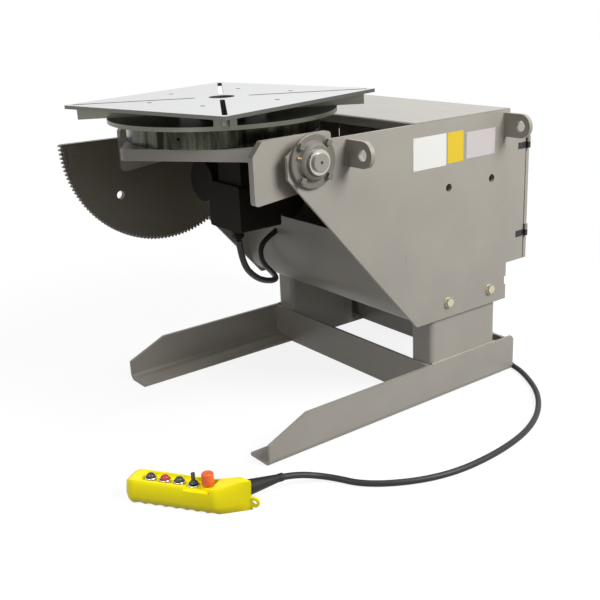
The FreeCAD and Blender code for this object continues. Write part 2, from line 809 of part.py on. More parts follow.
def turn_pinion():
    rows = gear_outline(turn_pinion_teeth, gear_module, tooth_thinning, 0.95 * gear_module,
                        1.3 * gear_module)
    points = []
    for i in range(turn_pinion_teeth):
        middle = math.pi / 2 + 2 * math.pi * i / turn_pinion_teeth
        for r, a in tooth_points(rows, middle):
            points.append((r * math.cos(a), turn_pinion_y + r * math.sin(a)))
    gear = plate_xy(points, saddle_top_z + 6, disc_z - 6)
    shaft = rod_z(turn_box_top_z - 60, saddle_top_z + 10, 0, turn_pinion_y, 16)
    return gear.fuse(shaft).removeSplitter()


turn_box_top_z = saddle_top_z - saddle_t
turn_box_half = 78.0
turn_box_h = 176.0
turn_motor_z = turn_box_top_z - 112
turn_motor_front = tilt_y - 105


def turn_gearbox():
    h = turn_box_half
    z0 = turn_box_top_z - turn_box_h
    box = block(-h, h, turn_pinion_y - h, turn_pinion_y + h, z0, turn_box_top_z)
    box = box.makeFillet(12, edges_along(box, V(0, 0, 1)))
    return box.cut(rod_z(turn_box_top_z - 66, turn_box_top_z + 1, 0, turn_pinion_y,
                         16 + bore_clear))


def turn_motor():
    length = turn_pinion_y - turn_box_half - turn_motor_front
    motor = finned_motor(0, length, 72)
    motor = spin(motor, -90, V(0, 0, 0), V(0, 0, 1))
    motor.translate(V(0, turn_motor_front + length, turn_motor_z))
    saddle_foot = block(-34, 34, turn_motor_front + 20, turn_motor_front + length - 20,
                        turn_motor_z + 60, turn_box_top_z)
    return motor.fuse(saddle_foot)


term_x0 = 40.0
term_x1 = 232.0


def terminal_box():
    y0 = turn_motor_front
    box = block(term_x0, term_x1, y0, y0 + 165, turn_box_top_z - 262, turn_box_top_z - 104)
    hanger = block(term_x0 + 50, term_x1 - 6, y0 + 14, y0 + 151, turn_box_top_z - 104,
                   turn_box_top_z)
    room = rod_y(y0 - 1, y0 + 400, 0, turn_motor_z, 72 + run_fit)
    box = box.makeFillet(9, edges_along(box, V(0, 1, 0)))
    return box.fuse(hanger).cut(room).removeSplitter()


gland_x = 182.0
gland_y = turn_motor_front + 19
gland_depth = 28.0


def cable_gland(x, y, z, r):
    """Cable gland under a face at height z: thread flange, hexagon body and dome nut."""
    body = hex_head(x, y, z, 2.6 * r, 7, V(0, 0, -1))
    waist = rod_z(z - 13, z - 6, x, y, 1.05 * r)
    nut = hex_head(x, y, z - 12, 2.4 * r, 10, V(0, 0, -1))
    dome = Part.makeCone(1.0 * r, 1.2 * r, 6, V(x, y, z - gland_depth))
    bore = rod_z(z - 40, z + 1, x, y, 0.85 * r)
    return body.fuse([waist, nut, dome]).cut(bore).removeSplitter()


save("slewing_ring_outer", slewing_ring_outer())
save("slewing_ring_inner", slewing_ring_inner())
save("turn_pinion", turn_pinion())
save("turn_gearbox", turn_gearbox())
save("turn_motor", turn_motor())
save("motor_terminal_box", terminal_box(),
     cable_gland(gland_x, gland_y, turn_box_top_z - 262, cable_r * 1.3))


# Table: square plate with diagonal slots, under it paired bars that make the T and a disc
def table_plate():
    h = table_side / 2
    z0 = table_top_z - table_t
    plate = block(-h, h, -h, h, z0, table_top_z)
    plate = plate.makeFillet(table_corner_r, edges_along(plate, V(0, 0, 1)))
    plate = plate.cut(rod_z(z0 - 1, table_top_z + 1, 0, 0, centre_bore_r))
    slot = block(slot_inner + slot_w / 2, slot_outer - slot_w / 2, -slot_w / 2, slot_w / 2,
                 z0 - 1, table_top_z + 1)
    ends = [rod_z(z0 - 1, table_top_z + 1, x, 0, slot_w / 2)
            for x in (slot_inner + slot_w / 2, slot_outer - slot_w / 2)]
    slot = slot.fuse(ends)
    for i in range(4):
        plate = plate.cut(spin(slot, 45 + 90 * i, V(0, 0, 0), V(0, 0, 1)))
    for i in range(6):
        a = math.radians(60 * i)
        plate = plate.cut(rod_z(z0 - 1, table_top_z + 1, table_circle_r * math.cos(a),
                                table_circle_r * math.sin(a), table_hole_r))
    return place_table(plate)


table_circle_r = 253.0


def place_table(shape):
    turned = spin(shape, table_turn, V(0, 0, 0), V(0, 0, 1))
    turned.translate(V(0, tilt_y, 0))
    return turned


def t_bars():
    bars = []
    z0 = disc_z + disc_t
    z1 = table_top_z - table_t
    for i in range(4):
        for side in (-1, 1):
            y0 = side * t_bar_gap / 2
            y1 = side * (t_bar_gap / 2 + t_bar_w)
            bar = block(t_bar_inner, t_bar_outer, min(y0, y1), max(y0, y1), z0, z1)
            bars.append(place_table(spin(bar, 45 + 90 * i, V(0, 0, 0), V(0, 0, 1))))
    return bars


def table_disc():
    """Round disc with the centre boss that carries the middle of the table."""
    disc = rod_z(disc_z, disc_z + disc_t, 0, tilt_y, disc_r)
    boss = rod_z(disc_z, table_top_z - table_t, 0, tilt_y, centre_bore_r + 35)
    return disc.fuse(boss).cut(rod_z(disc_z - 1, table_top_z, 0, tilt_y, centre_bore_r))


save("table_plate", table_plate())
save("t_slot_bars", *t_bars())
save("table_disc", table_disc())


# Control cabinet: box, gasket, hinged door with quarter-turn latches, panel and modules
box_back_y = side_rear_y
box_open_y = box_back_y + box_depth
hinge_x = box_half_w + 8.0
hinge_y = box_open_y + gasket_t + 3.0
door_y0 = box_open_y + gasket_t
door_y1 = door_y0 + door_depth


def cabinet_box():
    w = box_half_w
    outer = block(-w, w, box_back_y, box_open_y, box_bottom_z, box_top_z)
    t = box_wall
    inner = block(-w + t, w - t, box_back_y + t, box_open_y - t, box_bottom_z + t, box_top_z - t)
    mouth = block(-w + 22, w - 22, box_open_y - 2 * t, box_open_y + 1, box_bottom_z + 22,
                  box_top_z - 22)
    body = outer.cut(inner).cut(mouth)
    x, y = cord_start_x, cord_start_y
    return body.cut(rod_z(box_bottom_z - 1, box_bottom_z + t + 1, x, y, cord_r + 1))


cord_start_x = 330.0
cord_start_y = 478.0


def gasket():
    w = box_half_w - 6
    y0 = box_open_y
    frame = block(-w, w, y0, y0 + gasket_t - run_fit, box_bottom_z + 6, box_top_z - 6)
    return frame.cut(block(-w + 12, w - 12, y0 - 1, y0 + gasket_t + 1, box_bottom_z + 18,
                           box_top_z - 18))


def cabinet_door():
    w = box_half_w
    t = door_wall
    outer = block(-w, w, door_y0, door_y1, box_bottom_z, box_top_z)
    outer = outer.makeFillet(3, [e for e in outer.Edges
                                 if all(abs(v.Point.y - door_y1) < 1e-6 for v in e.Vertexes)])
    inner = block(-w + t, w - t, door_y0 - 1, door_y1 - t, box_bottom_z + t, box_top_z - t)
    door = outer.cut(inner)
    for z in latch_zs:
        door = door.cut(rod_y(door_y0 - 1, door_y1 + 1, latch_x, z, 9))
    return door


latch_x = -box_half_w + 34
latch_zs = (box_bottom_z + 130, box_top_z - 130)


def hinge_z_pairs():
    return [(z, z + hinge_h) for z in (hinge_low_z, hinge_high_z)]


def fixed_hinges():
    found = []
    for z0, z1 in hinge_z_pairs():
        middle = (z0 + z1) / 2
        knuckle = rod_z(z0, middle, hinge_x, hinge_y, hinge_r)
        leaf = block(box_half_w, box_half_w + 3, box_open_y - 42, hinge_y - 2, z0, middle)
        strap = block(box_half_w, hinge_x, hinge_y - 5, hinge_y - 2, z0, middle)
        pin = rod_z(middle - 1, z1 - 3, hinge_x, hinge_y, 3)
        found.append(leaf.fuse([strap, knuckle, pin]))
    return found


def door_hinges():
    found = []
    for z0, z1 in hinge_z_pairs():
        middle = (z0 + z1) / 2 + run_fit
        knuckle = rod_z(middle, z1, hinge_x, hinge_y, hinge_r)
        strap = block(box_half_w, hinge_x, hinge_y + 2, hinge_y + 5, middle, z1)
        half = knuckle.fuse(strap).cut(rod_z(middle - 1, z1 - 2.5, hinge_x, hinge_y,
                                             3 + bore_clear))
        found.append(half)
    return found


def door_latch(z):
    boss = rod_y(door_y0 + 2, door_y1 + 4, latch_x, z, 9 - 0.06)
    head = rod_y(door_y1 + run_fit, door_y1 + 8, latch_x, z, 14)
    slot = block(latch_x - 10, latch_x + 10, door_y1 + 5, door_y1 + 9, z - 1.5, z + 1.5)
    cam_y = door_y0 - gasket_t - box_wall - 2 * run_fit
    cam = block(latch_x - 6, latch_x + 6, cam_y - 3, cam_y, z - 9, z + 22)
    stem = rod_y(cam_y - 3, door_y0 + 3, latch_x, z, 6)
    return boss.fuse([head, stem, cam]).cut(slot)


def back_panel():
    w = box_half_w - 40
    y0 = box_back_y + box_wall + 10
    panel = block(-w, w, y0, y0 + 2.5, box_bottom_z + 50, box_top_z - 50)
    studs = [rod_y(box_back_y + box_wall, y0, sx * (w - 20), z, 6)
             for sx in (-1, 1) for z in (box_bottom_z + 70, box_top_z - 70)]
    return panel.fuse(studs)


def control_modules():
    """Two drives, a transformer, a row of relays and a terminal rail on the back panel."""
    y0 = box_back_y + box_wall + 12.5
    parts = []
    for x in (-330, -190):
        drive = block(x, x + 110, y0, y0 + 84, 700, 880)
        for i in range(6):
            drive = drive.cut(block(x + 10, x + 100, y0 + 80, y0 + 85, 720 + 12 * i,
                                    726 + 12 * i))
        parts.append(drive)
    parts.append(block(20, 150, y0, y0 + 80, 560, 660))
    rail = block(-300, 250, y0, y0 + 8, 528, 538)
    relays = [block(60 + 30 * i, 88 + 30 * i, y0, y0 + 62, 760, 840) for i in range(6)]
    blocks = [block(-290 + 14 * i, -278 + 14 * i, y0 + 8, y0 + 44, 515, 555) for i in range(16)]
    return parts + relays + [rail.fuse(blocks)]


save("cabinet_box", cabinet_box())
save("cabinet_gasket", gasket())
save("cabinet_door", cabinet_door().fuse(door_hinges()))
save("cabinet_hinges", *fixed_hinges())
for i, z in enumerate(latch_zs):
    save("door_latch_" + ("lower", "upper")[i], door_latch(z))
save("back_panel", back_panel())
save("control_modules", *control_modules())
save("cord_gland", cable_gland(cord_start_x, cord_start_y, box_bottom_z, cord_r * 1.3))


# Pendant: moulded handset, built along X and then turned into place
device_top_z = pendant_h - trough_depth
pendant_tail_x = pendant_nose_x + 10
trough_end_x = 2.5 * device_pitch


def place_pendant(shape):
    turned = spin(shape, pendant_turn, V(0, 0, 0), V(0, 0, 1))
    turned.translate(V(pendant_x, pendant_y, 0))
    return turned


def device_x(i):
    return (i - 2) * device_pitch


def pendant_side():
    """Side profile: waved grip below, flat top, and a tail that rises to the boot."""
    x0 = -pendant_front
    x1 = pendant_tail_x
    top = [V(x1, 0, 0), V(x1, 0, pendant_tail_h), V(x1 - 42, 0, pendant_tail_h),
           V(trough_end_x - 14, 0, pendant_h), V(x0 + 24, 0, pendant_h),
           V(x0, 0, pendant_h - 22), V(x0, 0, 26), V(x0 + 34, 0, 0)]
    edges = [Part.makeLine(top[i], top[i + 1]) for i in range(len(top) - 1)]
    waves = 8
    step = (pendant_taper_x - top[-1].x) / waves
    for i in range(waves):
        a = V(top[-1].x + step * i, 0, 0)
        b = V(top[-1].x + step * (i + 1), 0, 0)
        edges.append(Part.Arc(a, V((a.x + b.x) / 2, 0, 4), b).toShape())
    edges.append(Part.makeLine(V(pendant_taper_x, 0, 0), top[0]))
    side = Part.Face(Part.Wire(edges)).extrude(V(0, 2 * pendant_half_mid, 0))
    side.translate(V(0, -pendant_half_mid, 0))
    return side


def pendant_plan():
    """Plan: round front end, and a nose cut square to the boot."""
    w = pendant_half_mid
    lean = math.radians(boot_turn)
    corner_x = pendant_nose_x - (w - pendant_nose_y) * math.tan(lean)
    plan = plate_xy([(-pendant_front, -w), (pendant_taper_x, -w),
                     (pendant_nose_x, pendant_nose_y), (corner_x, w), (-pendant_front, w)],
                    0, pendant_tail_h + 1)
    front = [e for e in edges_along(plan, V(0, 0, 1))
             if e.BoundBox.XMax < -pendant_front + 1]
    return plan.makeFillet(34, front)


def pendant_section():
    """Cross-section: widest a little above the floor, narrower at the top."""
    low, mid, top = pendant_half_low, pendant_half_mid, pendant_half_top
    rise = pendant_tail_h + 1
    return plate_yz([(-low, 0), (-mid, pendant_mid_z), (-top, pendant_h), (-top, rise),
                     (top, rise), (top, pendant_h), (mid, pendant_mid_z), (low, 0)],
                    -pendant_front, pendant_tail_x)


def pendant_body():
    """Handset with a device trough that is open beside the lever and the knob."""
    body = pendant_side().common(pendant_plan()).common(pendant_section())
    trough = block(-trough_end_x, trough_end_x, -trough_half, trough_half, device_top_z,
                   pendant_tail_h)
    trough = trough.makeFillet(12, edges_along(trough, V(0, 0, 1)))
    open_side = block(device_x(3) - bezel_r, device_x(4) + bezel_r, -pendant_half_mid, 0,
                      device_top_z, pendant_tail_h)
    body = body.cut(trough).cut(open_side)
    for i in range(5):
        body = body.cut(rod_z(device_top_z - device_hole_depth, device_top_z + 1,
                              device_x(i), 0, device_hole_r))
    return body.removeSplitter()


handset = pendant_body()


def boot_line():
    """Axis of the boot, from the middle of the nose's cut face outward."""
    lean = math.radians(boot_turn)
    half_face = 20
    start = V(pendant_nose_x - half_face * math.sin(lean) + run_fit,
              pendant_nose_y + half_face * math.cos(lean), boot_z)
    away = V(math.cos(lean), math.sin(lean), -boot_fall)
    return start, start + away.normalize() * boot_length


def pendant_boot():
    """Smooth rubber cone on the nose, with a plain collar round the cord."""
    start, end = boot_line()
    axis = (end - start).normalize()
    collar = 14
    cone = Part.makeCone(boot_r, boot_end_r - 1, boot_length - collar, start, axis)
    ring = Part.makeCylinder(boot_end_r, collar, end - axis * collar, axis)
    mouth = Part.makeCylinder(cord_r + 0.2, 60, end - axis * 40, axis)
    return cone.fuse(ring).cut(mouth).cut(handset)


def pendant_hook():
    """Moulded eye at the nose, standing upright."""
    outer = hook_eye_r + hook_rim
    x = pendant_nose_x + hook_eye_r
    y = pendant_nose_y - hook_t / 2
    z = boot_z - boot_r - outer
    eye = rod_y(y, y + hook_t, x, z, outer)
    root = block(pendant_nose_x - 20, x, y, y + hook_t, z - outer, z + outer)
    return eye.fuse(root).cut(rod_y(y - 1, y + hook_t + 1, x, z, hook_eye_r)).cut(handset)


def device_bezels():
    rings = []
    for i in range(5):
        height = bezel_h if i < 3 else low_bezel_h
        barrel_reach = math.hypot(toggle_barrel_r, toggle_barrel_half)
        bore = (button_r, button_r, button_r, barrel_reach, knob_stem_r)[i] + hole_clear
        ring = rod_z(device_top_z, device_top_z + height, device_x(i), 0, bezel_r)
        ring = ring.cut(rod_z(device_top_z - 1, device_top_z + height + 1, device_x(i), 0, bore))
        rings.append(place_pendant(ring))
    return rings


def device_stem(i, top, r):
    return rod_z(device_top_z - stem_depth, device_top_z + top, device_x(i), 0, r)


def push_button(i):
    """Push button: round cap with a sloped rim over its stem."""
    wall = 8
    rim = 7
    z = device_top_z + press_gap
    cap = rod_z(z, z + wall, device_x(i), 0, button_r)
    crown = Part.makeCone(button_r, button_r - rim, rim, V(device_x(i), 0, z + wall))
    return place_pendant(cap.fuse([crown, device_stem(i, press_gap + 1, device_stem_r)]))


def toggle_lever():
    """Lever on a round pivot that lies across the handset, with a flared skirt."""
    x = device_x(3)
    z = device_top_z + 1
    barrel = rod_y(-toggle_barrel_half, toggle_barrel_half, x, z, toggle_barrel_r)
    neck = rod_z(z, z + 9, x, 0, 4)
    skirt = Part.makeCone(11, 6, 7, V(x, 0, z + 8))
    lever = Part.makeCone(5, 6.5, 26, V(x, 0, z + 14))
    return place_pendant(barrel.fuse([neck, skirt, lever]))


def mushroom_knob():
    z = device_top_z + knob_gap
    head = rod_z(z, z + knob_h - 3, device_x(4), 0, knob_r)
    crown = Part.makeCone(knob_r, knob_r - 3, 3, V(device_x(4), 0, z + knob_h - 3))
    return place_pendant(head.fuse([crown, device_stem(4, knob_gap + 1, knob_stem_r)]))


save("pendant_body", place_pendant(handset))
save("pendant_boot", place_pendant(pendant_boot()))
save("pendant_hook", place_pendant(pendant_hook()))
save("device_bezels", *device_bezels())
for i, name in enumerate(("black_button_end", "red_button", "black_button_middle")):
    save(name, push_button(i))
save("toggle_lever", toggle_lever())
save("mushroom_knob", mushroom_knob())


# Cords: straight runs joined by tangent arcs
def tube_along(points, r):
    edges = []
    start = points[0]
    for i in range(1, len(points) - 1):
        into = points[i - 1] - points[i]
        out = points[i + 1] - points[i]
        reach = 0.45 * min(into.Length, out.Length)
        into.normalize()
        out.normalize()
        half = math.acos(max(-1, min(1, into.dot(out)))) / 2
        bend = reach * math.tan(half)
        a = points[i] + into * reach
        b = points[i] + out * reach
        middle = (into + out).normalize()
        crown = points[i] + middle * (bend / math.sin(half) - bend)
        print("cord radius", round(bend), "turn", round(180 - 2 * math.degrees(half)))
        edges.append(Part.makeLine(start, a))
        edges.append(Part.Arc(a, crown, b).toShape())
        start = b
    edges.append(Part.makeLine(start, points[-1]))
    path = Part.Wire(edges)
    ring = Part.Wire([Part.makeCircle(r, points[0], points[1] - points[0])])
    tube = path.makePipeShell([ring], True, True)
    print("cord length", round(path.Length), "volume ratio",
          round(tube.Volume / (math.pi * r * r * path.Length), 4))
    return tube


def cord_points():
    boot_start, boot_end = boot_line()
    turn = FreeCAD.Rotation(V(0, 0, 1), pendant_turn)
    move = V(pendant_x, pendant_y, 0)
    along = (boot_end - boot_start).normalize()
    end = turn.multVec(boot_end + along * 32) + move
    tail = turn.multVec(boot_end - along * 30) + move
    floor = cord_r + 0.5
    return [V(cord_start_x, cord_start_y, box_bottom_z - 6), V(332, 482, 230), V(345, 488, 75),
            V(440, 480, floor), V(560, 445, floor), V(745, 318, floor), V(880, 120, floor),
            V(935, -120, floor), V(928, -380, floor), V(812, -590, floor), V(674, -652, floor),
            end, tail]


def cable_points():
    mouth = turn_box_top_z - 262 - gland_depth
    return [V(gland_x, gland_y, mouth - 8), V(178, -600, 604), V(150, -530, 532),
            V(98, -440, 488), V(25, -350, 460), V(-70, -305, 456), V(-152, -290, 468),
            V(-220, -258, 496), V(cable_hole_x + 19, pan_front_y - 75, cable_hole_z - 19),
            V(cable_hole_x - 9, pan_front_y + 35, cable_hole_z + 9)]


save("pendant_cord", tube_along(cord_points(), cord_r))
save("motor_cable", tube_along(cable_points(), cable_r))
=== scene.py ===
import math
import bpy
import bmesh
from mathutils import Matrix, Quaternion, Vector


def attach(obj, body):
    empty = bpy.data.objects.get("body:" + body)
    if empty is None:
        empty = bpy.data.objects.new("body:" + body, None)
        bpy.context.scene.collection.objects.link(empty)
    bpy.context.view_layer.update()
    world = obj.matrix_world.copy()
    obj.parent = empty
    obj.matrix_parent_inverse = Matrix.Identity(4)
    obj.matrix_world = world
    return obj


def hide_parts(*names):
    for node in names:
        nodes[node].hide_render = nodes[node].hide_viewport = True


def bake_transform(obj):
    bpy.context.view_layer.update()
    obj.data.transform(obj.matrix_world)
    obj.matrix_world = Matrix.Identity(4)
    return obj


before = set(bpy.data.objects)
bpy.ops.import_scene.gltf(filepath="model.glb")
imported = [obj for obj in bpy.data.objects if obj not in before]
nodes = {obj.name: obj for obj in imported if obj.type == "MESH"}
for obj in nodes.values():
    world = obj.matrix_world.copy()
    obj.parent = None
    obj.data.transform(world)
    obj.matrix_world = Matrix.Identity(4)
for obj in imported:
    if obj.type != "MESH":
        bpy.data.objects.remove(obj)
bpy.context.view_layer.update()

# Camera: a 55 mm lens at head height, off the front right corner of the machine, looking down
# on it and tipped a little out of level.
def link_in(data, name):
    made = bpy.data.objects.new(name, data)
    bpy.context.scene.collection.objects.link(made)
    return made


camera = link_in(bpy.data.cameras.new("camera"), "camera")
camera.data.lens = 55.04
camera.data.sensor_width = 36
camera.data.shift_x = -0.0015
camera.data.shift_y = -0.0047
camera.location = (2.7364, -2.2430, 1.4963)
aim = Vector((0, -0.225, 0.3509)) - camera.location
camera.rotation_mode = "QUATERNION"
camera.rotation_quaternion = aim.to_track_quat("-Z", "Y") @ Quaternion((0, 0, 1), math.radians(-2.61))
bpy.context.scene.camera = camera
bpy.context.scene.view_settings.view_transform = "Standard"


# Cords: black rubber cable. The pendant's leaves a gland under the cabinet, drops to the floor
# and runs round the right leg; the motor's hangs in a loop and goes through the belly pan.
def plain(name, colour, roughness, metallic=0.0, shine=0.5):
    """A material with one colour all over; shine is how much light its skin mirrors."""
    made = bpy.data.materials.new(name)
    made.use_nodes = True
    shader = made.node_tree.nodes["Principled BSDF"]
    shader.inputs["Base Color"].default_value = (*colour, 1)
    shader.inputs["Roughness"].default_value = roughness
    shader.inputs["Metallic"].default_value = metallic
    shader.inputs["Specular IOR Level"].default_value = shine
    return made


def cable(name, points, radius, material):
    """A round cable on one smooth spline whose control points are the route's."""
    curve = bpy.data.curves.new(name, "CURVE")
    curve.dimensions = "3D"
    curve.bevel_depth = radius
    curve.bevel_resolution = 6
    curve.resolution_u = 24
    curve.use_fill_caps = True
    spline = curve.splines.new("NURBS")
    spline.points.add(len(points) - 1)
    for point, place in zip(spline.points, points):
        point.co = (*place, 1)
    spline.order_u = 3
    spline.use_endpoint_u = True
    curve.materials.append(material)
    return link_in(curve, name)


def bending_tube(piece):
    """The same cable as a mesh, and the line that it follows."""
    name = piece.name
    tube = bpy.data.meshes.new_from_object(piece.evaluated_get(bpy.context.evaluated_depsgraph_get()))
    piece.data.bevel_depth = 0
    line = bpy.data.meshes.new_from_object(piece.evaluated_get(bpy.context.evaluated_depsgraph_get()))
    bpy.data.objects.remove(piece)
    return link_in(tube, name), [tuple(point.co) for point in line.vertices]


pendant_turn = math.radians(34.3)
pendant_middle = Vector((0.487, -1.081, 0))


def pendant_place(x, y, z):
    """A point given in the pendant's own frame, x along the handset, in metres."""
    turned = Matrix.Rotation(pendant_turn, 4, "Z") @ Vector((x, y, z))
    return turned + pendant_middle


sheath = plain("cable_sheath", (0.020, 0.021, 0.020), 0.45, shine=0.35)
boot_lean = math.radians(57.3)
boot_aside = 0.020
boot_start = Vector((0.232 - boot_aside * math.sin(boot_lean),
                     0.018 + boot_aside * math.cos(boot_lean), 0.068))
boot_way = Vector((math.cos(boot_lean), math.sin(boot_lean), -0.114)).normalized()
cord_r, motor_cable_r = 0.0105, 0.011
lie = 0.0110
route = [(0.330, 0.478, 0.446), (0.332, 0.482, 0.230), (0.345, 0.488, 0.075), (0.440, 0.480, lie),
         (0.560, 0.445, lie), (0.745, 0.318, lie), (0.880, 0.120, lie), (0.935, -0.120, lie),
         (0.928, -0.380, lie), (0.812, -0.590, lie), (0.674, -0.652, lie),
         pendant_place(*(boot_start + boot_way * 0.164)),
         pendant_place(*(boot_start + boot_way * 0.102))]
cord = cable("pendant_lead", route, cord_r, sheath)
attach(cord, "base")
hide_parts("pendant_cord")
loop = [(0.182, -0.611, 0.690), (0.178, -0.600, 0.604), (0.150, -0.530, 0.532),
        (0.098, -0.440, 0.488), (0.025, -0.350, 0.460), (-0.070, -0.305, 0.456),
        (-0.152, -0.290, 0.468), (-0.220, -0.258, 0.496), (-0.262, -0.205, 0.532),
        (-0.290, -0.095, 0.560)]
motor_lead, middle_line = bending_tube(cable("motor_lead", loop, motor_cable_r, sheath))
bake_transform(motor_lead)
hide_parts("motor_cable")

# Studio: a pale floor that turns pure white away from the machine, a white surround, two broad
# lamps and a small one by the pendant. The right one lights the near side plate, and the front
# stays in soft shade.
def seen_directly(tree):
    """1 for what the lens or a mirror sees, 0 for light that falls on the object."""
    path = tree.nodes.new("ShaderNodeLightPath")
    seen = tree.nodes.new("ShaderNodeMath")
    seen.operation = "MAXIMUM"
    tree.links.new(path.outputs["Is Camera Ray"], seen.inputs[0])
    tree.links.new(path.outputs["Is Glossy Ray"], seen.inputs[1])
    return seen.outputs[0]


fade_start, fade_end = 1.1, 2.6
floor_mesh = bpy.data.meshes.new("floor")
sheet = bmesh.new()
bmesh.ops.create_grid(sheet, x_segments=1, y_segments=1, size=40)
sheet.to_mesh(floor_mesh)
sheet.free()
floor = link_in(floor_mesh, "floor")
floor_white = bpy.data.materials.new("floor_white")
floor_white.use_nodes = True
tree = floor_white.node_tree
tree.nodes.clear()
out = tree.nodes.new("ShaderNodeOutputMaterial")
both = tree.nodes.new("ShaderNodeAddShader")
matt = tree.nodes.new("ShaderNodeBsdfDiffuse")
glow = tree.nodes.new("ShaderNodeEmission")
where = tree.nodes.new("ShaderNodeTexCoord")
distance = tree.nodes.new("ShaderNodeVectorMath")
distance.operation = "LENGTH"
albedo = tree.nodes.new("ShaderNodeMapRange")
albedo.interpolation_type = "SMOOTHSTEP"
albedo.inputs["From Min"].default_value = fade_start
albedo.inputs["From Max"].default_value = fade_end
albedo.inputs["To Min"].default_value = 0.17
albedo.inputs["To Max"].default_value = 0.0
near_glow = tree.nodes.new("ShaderNodeMapRange")
near_glow.interpolation_type = "SMOOTHSTEP"
near_glow.inputs["From Min"].default_value = fade_start
near_glow.inputs["From Max"].default_value = fade_end
near_glow.inputs["To Min"].default_value = 0.86
near_glow.inputs["To Max"].default_value = 1.0
level = tree.nodes.new("ShaderNodeMath")
level.operation = "MULTIPLY"
tree.links.new(where.outputs["Object"], distance.inputs[0])
tree.links.new(distance.outputs["Value"], albedo.inputs["Value"])
tree.links.new(distance.outputs["Value"], near_glow.inputs["Value"])
tree.links.new(albedo.outputs["Result"], matt.inputs["Color"])
tree.links.new(seen_directly(tree), level.inputs[0])
tree.links.new(near_glow.outputs["Result"], level.inputs[1])
tree.links.new(level.outputs[0], glow.inputs["Strength"])
tree.links.new(matt.outputs[0], both.inputs[0])
tree.links.new(glow.outputs[0], both.inputs[1])
tree.links.new(both.outputs[0], out.inputs[0])
floor_mesh.materials.append(floor_white)

world = bpy.data.worlds.new("surround")
bpy.context.scene.world = world
world.use_nodes = True
tree = world.node_tree
sky = tree.nodes["Background"]
sky.inputs["Color"].default_value = (1, 1, 1, 1)
level = tree.nodes.new("ShaderNodeMapRange")
level.inputs["To Min"].default_value = 0.24
level.inputs["To Max"].default_value = 1.0
tree.links.new(seen_directly(tree), level.inputs["Value"])
tree.links.new(level.outputs["Result"], sky.inputs["Strength"])


def lamp(name, place, target, size, watts):
    """A round soft lamp at place, aimed at target."""
    data = bpy.data.lights.new(name, "AREA")
    data.shape = "DISK"
    data.size = size
    data.energy = watts
    made = link_in(data, name)
    made.location = place
    made.rotation_euler = (Vector(target) - Vector(place)).to_track_quat("-Z", "Y").to_euler()


lamp("right_softbox", (3.7, 1.0, 3.2), (0.3, 0, 0.5), 2.2, 215)
lamp("overhead_softbox", (-0.6, 0.9, 5.0), (0, -0.2, 0), 3.0, 105)
lamp("pendant_softbox", (0.62, -1.62, 0.72), (0.5, -1.1, 0.05), 0.4, 3.6)


# Painted steel plate: warm grey enamel sprayed over cut and folded plate, with an even
# orange peel and a faint cloudiness.
def paint_film():
    """Group: cloudy colour, uneven gloss and the height of an orange peel."""
    group = bpy.data.node_groups.new("paint_film", "ShaderNodeTree")
    group.interface.new_socket("Colour", in_out="INPUT", socket_type="NodeSocketColor")
    group.interface.new_socket("Roughness", in_out="INPUT", socket_type="NodeSocketFloat")
    group.interface.new_socket("Colour", in_out="OUTPUT", socket_type="NodeSocketColor")
    group.interface.new_socket("Roughness", in_out="OUTPUT", socket_type="NodeSocketFloat")
    group.interface.new_socket("Height", in_out="OUTPUT", socket_type="NodeSocketFloat")
    add = group.nodes.new
    start = add("NodeGroupInput")
    end = add("NodeGroupOutput")
    where = add("ShaderNodeTexCoord")
    cloud = add("ShaderNodeTexNoise")
    cloud.inputs["Scale"].default_value = 4.5
    cloud.inputs["Detail"].default_value = 4
    shade = add("ShaderNodeMapRange")
    shade.inputs["From Min"].default_value = 0.3
    shade.inputs["From Max"].default_value = 0.7
    shade.inputs["To Min"].default_value = 0.93
    shade.inputs["To Max"].default_value = 1.05
    tint = add("ShaderNodeVectorMath")
    tint.operation = "SCALE"
    uneven = add("ShaderNodeMath")
    uneven.operation = "MULTIPLY"
    peel = add("ShaderNodeTexNoise")
    peel.inputs["Scale"].default_value = 260
    link = group.links.new
    link(where.outputs["Object"], cloud.inputs["Vector"])
    link(where.outputs["Object"], peel.inputs["Vector"])
    link(cloud.outputs["Fac"], shade.inputs["Value"])
    link(start.outputs["Colour"], tint.inputs[0])
    link(shade.outputs["Result"], tint.inputs["Scale"])
    link(tint.outputs["Vector"], end.inputs["Colour"])
    link(start.outputs["Roughness"], uneven.inputs[0])
    link(shade.outputs["Result"], uneven.inputs[1])
    link(uneven.outputs[0], end.inputs["Roughness"])
    link(peel.outputs["Fac"], end.inputs["Height"])
    return group


film = paint_film()


def paint(name, colour, roughness, peel_depth=0.0006, shine=0.5):
    """Sprayed enamel on the paint film; shine is how much light its skin mirrors."""
    made = bpy.data.materials.new(name)
    made.use_nodes = True
    tree = made.node_tree
    shader = tree.nodes["Principled BSDF"]
    shader.inputs["Specular IOR Level"].default_value = shine
    coat = tree.nodes.new("ShaderNodeGroup")
    coat.node_tree = film
    coat.inputs["Colour"].default_value = (*colour, 1)
    coat.inputs["Roughness"].default_value = roughness
    bump = tree.nodes.new("ShaderNodeBump")
    bump.inputs["Distance"].default_value = peel_depth
    bump.inputs["Strength"].default_value = 0.35
    tree.links.new(coat.outputs["Colour"], shader.inputs["Base Color"])
    tree.links.new(coat.outputs["Roughness"], shader.inputs["Roughness"])
    tree.links.new(coat.outputs["Height"], bump.inputs["Height"])
    tree.links.new(bump.outputs["Normal"], shader.inputs["Normal"])
    return made


def dress(material, *names):
    """Give CAD nodes a material in place of their plain one."""
    for name in names:
        slots = nodes[name].material_slots
        for slot in slots:
            slot.material = material
        if not slots:
            nodes[name].data.materials.append(material)


